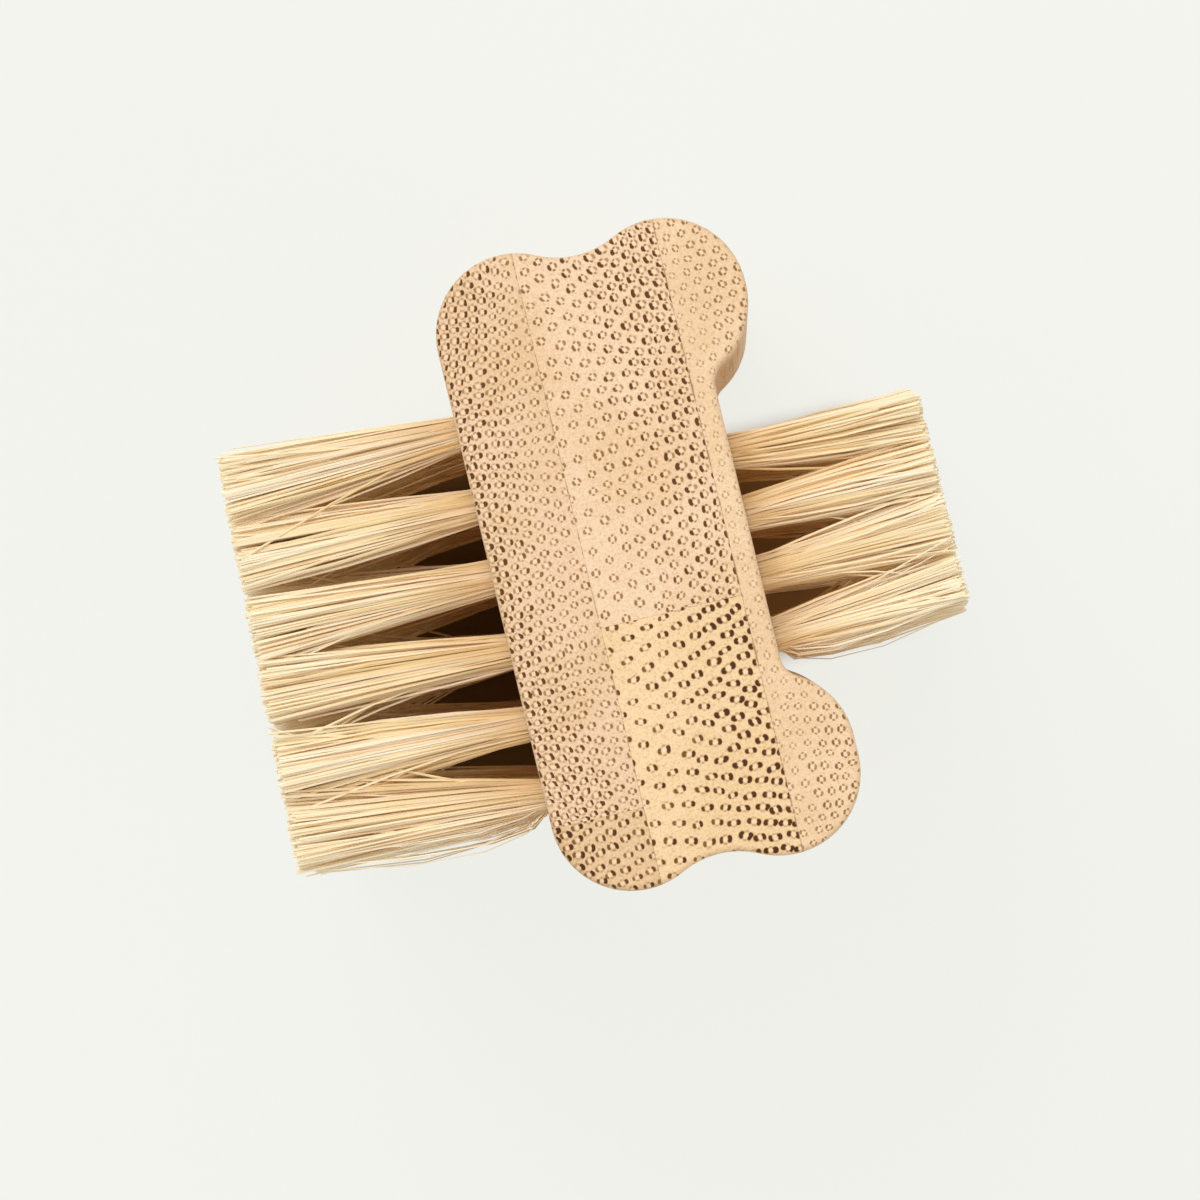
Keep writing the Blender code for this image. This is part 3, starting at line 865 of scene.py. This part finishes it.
def tube_mesh(name, paths, radii, flatness, roll, tones):
    """A mesh of many closed thin tubes, one to a path, with a tone for each and how far out each point is."""
    count, points, _ = paths.shape
    tangent = np.gradient(paths, axis=1)
    tangent /= np.linalg.norm(tangent, axis=2, keepdims=True)
    side = np.cross(tangent, (0.0, 0.0, 1.0))
    side /= np.linalg.norm(side, axis=2, keepdims=True)
    up = np.cross(side, tangent)
    angles = math.tau * np.arange(FIBRE_SIDES) / FIBRE_SIDES
    wide = np.cos(angles)[None, :]
    narrow = np.sin(angles)[None, :] * flatness[:, None]
    cosine, sine = np.cos(roll)[:, None], np.sin(roll)[:, None]
    sideways = (wide * cosine - narrow * sine)[:, None, :, None] * side[:, :, None, :]
    upwards = (wide * sine + narrow * cosine)[:, None, :, None] * up[:, :, None, :]
    vertices = (paths[:, :, None, :] + radii[:, :, None, None] * (sideways + upwards)).reshape(-1, 3)

    ring = np.arange(FIBRE_SIDES)
    after = (ring + 1) % FIBRE_SIDES
    start = (np.arange(points - 1) * FIBRE_SIDES)[:, None]
    beyond = start + FIBRE_SIDES
    walls = np.stack([start + ring, beyond + ring, beyond + after, start + after], 2)
    caps = np.stack([ring, ring[::-1] + (points - 1) * FIBRE_SIDES])
    faces = np.concatenate([walls.reshape(-1, FIBRE_SIDES), caps])
    first = (np.arange(count) * points * FIBRE_SIDES)[:, None, None]
    faces = (faces[None] + first).reshape(-1, FIBRE_SIDES)
    mesh = bpy.data.meshes.new(name)
    mesh.from_pydata(vertices.tolist(), [], faces.tolist())
    reaches = np.tile(np.repeat((0.0, *PATH_SHARES), FIBRE_SIDES), count)
    for label, values in (("tone", np.repeat(tones, points * FIBRE_SIDES)), ("reach", reaches)):
        attribute = mesh.attributes.new(label, "FLOAT", "POINT")
        attribute.data.foreach_set("value", values.astype(np.float32))
    return mesh


def make_fibre_material():
    """Dry plant fibre, straw to cream: each strand has its own tone, with painted shade that browns it at the
    wood and painted light that pales it at the tip.
    """
    material, graph, shader = new_material("plant_fibre")
    tone = graph.add("ShaderNodeAttribute", attribute_name="tone").outputs["Fac"]
    reach = graph.add("ShaderNodeAttribute", attribute_name="reach").outputs["Fac"]
    x, y, z = graph.place()
    mottle = graph.noise(graph.joined(graph.times(x, MOTTLE_ALONG), y, z), MOTTLE_SCALE)["Fac"]
    mixed = graph.math("MULTIPLY_ADD", tone, 1 - MOTTLE_SHARE, graph.times(mottle, MOTTLE_SHARE))
    ramp = graph.add("ShaderNodeValToRGB", {"Fac": mixed})
    first, *others, last = FIBRE_TONES
    stops = ramp.color_ramp.elements
    for stop, (position, colour) in zip(stops, (first, last)):
        stop.position = position
        stop.color = colour
    for position, colour in others:
        stops.new(position).color = colour
    # Painted light pales the fibres towards the tip, and painted shade browns them towards the wood
    colour = graph.blend(graph.step(reach, MIDDLE, 1.0, end=TIP_LIGHT_SHARE), ramp.outputs["Color"], TIP_PAINTED_LIGHT)
    colour = graph.blend(graph.step(reach, MIDDLE, 0.0, end=ROOT_SHADE_SHARE), colour, ROOT_PAINTED_SHADE)
    graph.put(shader.inputs["Base Color"], colour)
    graph.put(shader.inputs["Roughness"], graph.between(mottle, FIBRE_ROUGHNESS))
    shader.inputs["Specular IOR Level"].default_value = 0.4
    return material


def make_bristle_row(side, row, material, random):
    """A row's fibres as one mesh."""
    tufts = [tuft_paths(side, row, height, random) for height in tuft_heights()]
    paths = np.concatenate([tuft for tuft, _, _ in tufts])
    fine = np.concatenate([strays for _, _, strays in tufts])
    clump_tones = random.normal(CLUMP_TONE, CLUMP_TONE_SCATTER, (len(tufts), CLUMPS))
    tones = np.concatenate([shades[clump] for shades, (_, clump, _) in zip(clump_tones, tufts)])
    count = len(paths)
    tones = np.clip(tones + random.normal(0, FIBRE_TONE_SCATTER, count) + FINE_PALER * fine, 0, 1)
    radius = random.uniform(*FIBRE_RADIUS, count) * MM * np.where(fine, FINE_THICKNESS, 1.0)
    mesh = tube_mesh(
        row.node,
        paths,
        radius[:, None] * np.array(FIBRE_TAPER)[None, :],
        random.uniform(*FIBRE_FLATNESS, count),
        random.uniform(0, math.tau, count),
        tones,
    )
    mesh.materials.append(material)
    bristles = add_object(f"fibre_{row.node}", mesh)
    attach(bristles, "root")
    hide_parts(row.node)


def make_anchor_material():
    """Drawn flat wire: grey steel with fine streaks along it."""
    material, graph, shader = new_material("drawn_wire")
    x, y, z = graph.place()
    drawn_out = graph.joined(graph.times(x, STREAK_X), y, graph.times(z, STREAK_Z))
    streak = graph.noise(drawn_out, STREAK_SCALE)["Fac"]
    graph.put(shader.inputs["Base Color"], graph.blend(streak, *WIRE_TONES))
    graph.put(shader.inputs["Roughness"], graph.between(streak, WIRE_ROUGHNESS))
    shader.inputs["Metallic"].default_value = 1.0
    return material


def make_anchor_row(side, row, material):
    """A piece of flat wire across the bottom of each hole of the row, with its two upper corners cut off."""
    bottom = HOLE_DEPTH - ANCHOR_LIFT
    top = bottom - ANCHOR_HEIGHT
    half_width = ANCHOR_WIDTH / 2
    cut = ANCHOR_HEIGHT / 3
    outline = (
        (bottom, -half_width),
        (bottom, half_width),
        (top + cut, half_width),
        (top, half_width - cut),
        (top, cut - half_width),
        (top + cut, -half_width),
    )
    bm = bmesh.new()
    for height in tuft_heights():
        rings = []
        for y in (row.base_y - ANCHOR_THICKNESS / 2, row.base_y + ANCHOR_THICKNESS / 2):
            ring = [(side.face_x - side.outward * depth, y, height + along) for depth, along in outline]
            rings.append(ring)
        skin(bm, rings)
    mesh = finished_mesh(row.anchor_node, bm)
    mesh.materials.append(material)
    anchors = add_object(f"cut_{row.anchor_node}", mesh)
    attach(anchors, "root")
    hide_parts(row.anchor_node)


# Stage

BACKGROUND = linear(243, 244, 238)
SKY_STRENGTH = 0.55
FIBRE_BOUNCES = 12  # light goes to and fro between pale fibres more often than the usual 4 times

# The floor: half its side, and how much of the object's shadow the open floor shows
FLOOR_HALF = 3.0
SHADOW_SHARE = 0.1

# Painted shade on the floor under the tufts: a dark tone in its colour near the wood, standing in for the
# shade between the rows. Lengths are in mm. X is counted from the wood that the tufts leave: where the
# painted shade starts and ends, and where it fades out towards the tips. It turns lighter at the block's
# middle.
SHADE_EDGE = 3.0
LONG_SHADE_X, LONG_SHADE_Y, LONG_SHADE_FADE = (-15.5, 4.0), (-14.5, 13.5), (-14.0, -9.0)
SHORT_SHADE_X, SHORT_SHADE_Y, SHORT_SHADE_FADE = (-4.0, 11.0), (-9.5, 8.5), (11.0, 7.0)
SHADE_TURNS = (-1.0, 1.0)
DEEP_SHADE = linear(96, 68, 36)
LIGHTER_SHADE = linear(140, 104, 62)


def seen_directly(graph):
    """1 for the camera's own rays, and for those that a mirror or clear glass would pass on."""
    path = graph.add("ShaderNodeLightPath").outputs
    direct = graph.math("MAXIMUM", path["Is Camera Ray"], path["Is Glossy Ray"])
    return graph.math("MAXIMUM", direct, path["Is Transmission Ray"])


def mix_shaders(graph, share, first, second):
    node = graph.add("ShaderNodeMixShader")
    for socket, value in zip(node.inputs, (share, first.outputs[0], second.outputs[0])):
        graph.put(socket, value)
    return node.outputs[0]


def make_world():
    """A white sky for the light on the object, and the photograph's background for the camera."""
    world = bpy.data.worlds.new("studio")
    bpy.context.scene.world = world
    world.use_nodes = True
    world.node_tree.nodes.clear()
    graph = Graph(world.node_tree)
    fill = graph.add("ShaderNodeBackground", {"Color": (1.0, 1.0, 1.0, 1.0), "Strength": SKY_STRENGTH})
    shown = graph.add("ShaderNodeBackground", {"Color": BACKGROUND, "Strength": 1.0})
    out = graph.add("ShaderNodeOutputWorld")
    graph.put(out.inputs["Surface"], mix_shaders(graph, seen_directly(graph), fill, shown))


def inside_box(graph, x, y, x_ends, y_ends):
    """1 inside a box on the floor, fading to 0 across its edge. Lengths are in mm."""
    edges = []
    for value, (low, high) in ((x, x_ends), (y, y_ends)):
        edges.append(graph.step(value, low, low + SHADE_EDGE))
        edges.append(graph.step(value, high, high - SHADE_EDGE))
    share = edges[0]
    for edge in edges[1:]:
        share = graph.times(share, edge)
    return share


def make_floor():
    """A pale floor, with painted shade in its colour under the tufts near the wood. It takes all of the shade
    under the tufts, and further out only a trace of it.
    """
    mesh = bpy.data.meshes.new("floor")
    edge = FLOOR_HALF
    square = [(-edge, -edge, 0), (edge, -edge, 0), (edge, edge, 0), (-edge, edge, 0)]
    mesh.from_pydata(square, [], [(0, 1, 2, 3)])
    floor = add_object("floor", mesh)
    material, graph, shader = new_material("pale_floor")
    shader.inputs["Roughness"].default_value = 0.9
    shader.inputs["Specular IOR Level"].default_value = 0.0
    x, y, _ = graph.place()
    from_flat = graph.math("SUBTRACT", x, FLAT_FACE_X / MM)
    from_waist = graph.math("SUBTRACT", x, WAIST_FACE_X / MM)
    under_long = inside_box(graph, from_flat, y, LONG_SHADE_X, LONG_SHADE_Y)
    under_short = inside_box(graph, from_waist, y, SHORT_SHADE_X, SHORT_SHADE_Y)
    under = graph.math("MAXIMUM", under_long, under_short)
    near_long = graph.step(from_flat, *LONG_SHADE_FADE)
    near_short = graph.step(from_waist, *SHORT_SHADE_FADE)
    # Painted shade: the floor's colour turns dark brown under the tufts near the wood
    shade = graph.times(under, graph.times(near_long, near_short))
    shade_tone = graph.blend(graph.step(x, *SHADE_TURNS), DEEP_SHADE, LIGHTER_SHADE)
    graph.put(shader.inputs["Base Color"], graph.blend(shade, BACKGROUND, shade_tone))
    glow = graph.add("ShaderNodeEmission", {"Color": BACKGROUND, "Strength": 1.0})
    open_share = graph.times(graph.math("SUBTRACT", 1.0, under), 1 - SHADOW_SHARE)
    surface = mix_shaders(graph, graph.times(open_share, seen_directly(graph)), shader, glow)
    graph.put(material.node_tree.nodes["Material Output"].inputs["Surface"], surface)
    mesh.materials.append(material)


def add_area_light(name, place, side, power):
    """A square lamp that looks at the middle of the brush."""
    light = bpy.data.lights.new(name, "AREA")
    light.shape = "SQUARE"
    light.size = side
    light.energy = power
    lamp = add_object(name, light)
    lamp.location = place
    aim = Vector((0, 0, BLOCK_LENGTH / 2)) - Vector(place)
    lamp.rotation_euler = aim.to_track_quat("-Z", "Y").to_euler()


def make_camera():
    """The photograph's view: down along the brush's length, from a little right of its middle."""
    data = bpy.data.cameras.new("photo_view")
    data.sensor_width = SENSOR_WIDTH
    data.lens = SENSOR_WIDTH * PHOTO_PIXELS_PER_METRE * CAMERA_HEIGHT / PHOTO_SIDE
    camera = add_object("photo_view", data)
    place = Vector((CAMERA_X, CAMERA_Y, BLOCK_LENGTH + CAMERA_HEIGHT))
    back = (place - Vector((AIM_X, AIM_Y, BLOCK_LENGTH))).normalized()
    right = Vector(PHOTO_UP).cross(back).normalized()
    up = back.cross(right)
    camera.matrix_world = Matrix.Translation(place) @ Matrix((right, up, back)).transposed().to_4x4()
    bpy.context.scene.camera = camera


def main():
    random = np.random.default_rng(SEED)
    sides = (
        Side(
            "long", rows=6, face_x=FLAT_FACE_X, outward=-1,
            tip_radius=2.05 * MM, tip_room=2.15 * MM, fibres=150,
        ),
        Side(
            "short", rows=4, face_x=WAIST_FACE_X, outward=1,
            tip_radius=1.8 * MM, tip_room=1.0 * MM, fibres=140,
        ),
    )
    make_strips(sides)
    fibre = make_fibre_material()
    wire = make_anchor_material()
    for side in sides:
        for row in side.rows:
            make_bristle_row(side, row, fibre, random)
            make_anchor_row(side, row, wire)
    make_world()
    make_floor()
    add_area_light("key", place=(-0.1, 0.38, 0.97), side=0.5, power=5.4)
    add_area_light("fill", place=(0.7, -0.6, 0.6), side=0.7, power=1.2)
    make_camera()
    bpy.context.scene.view_settings.view_transform = "Standard"
    bpy.context.scene.cycles.diffuse_bounces = FIBRE_BOUNCES


main()
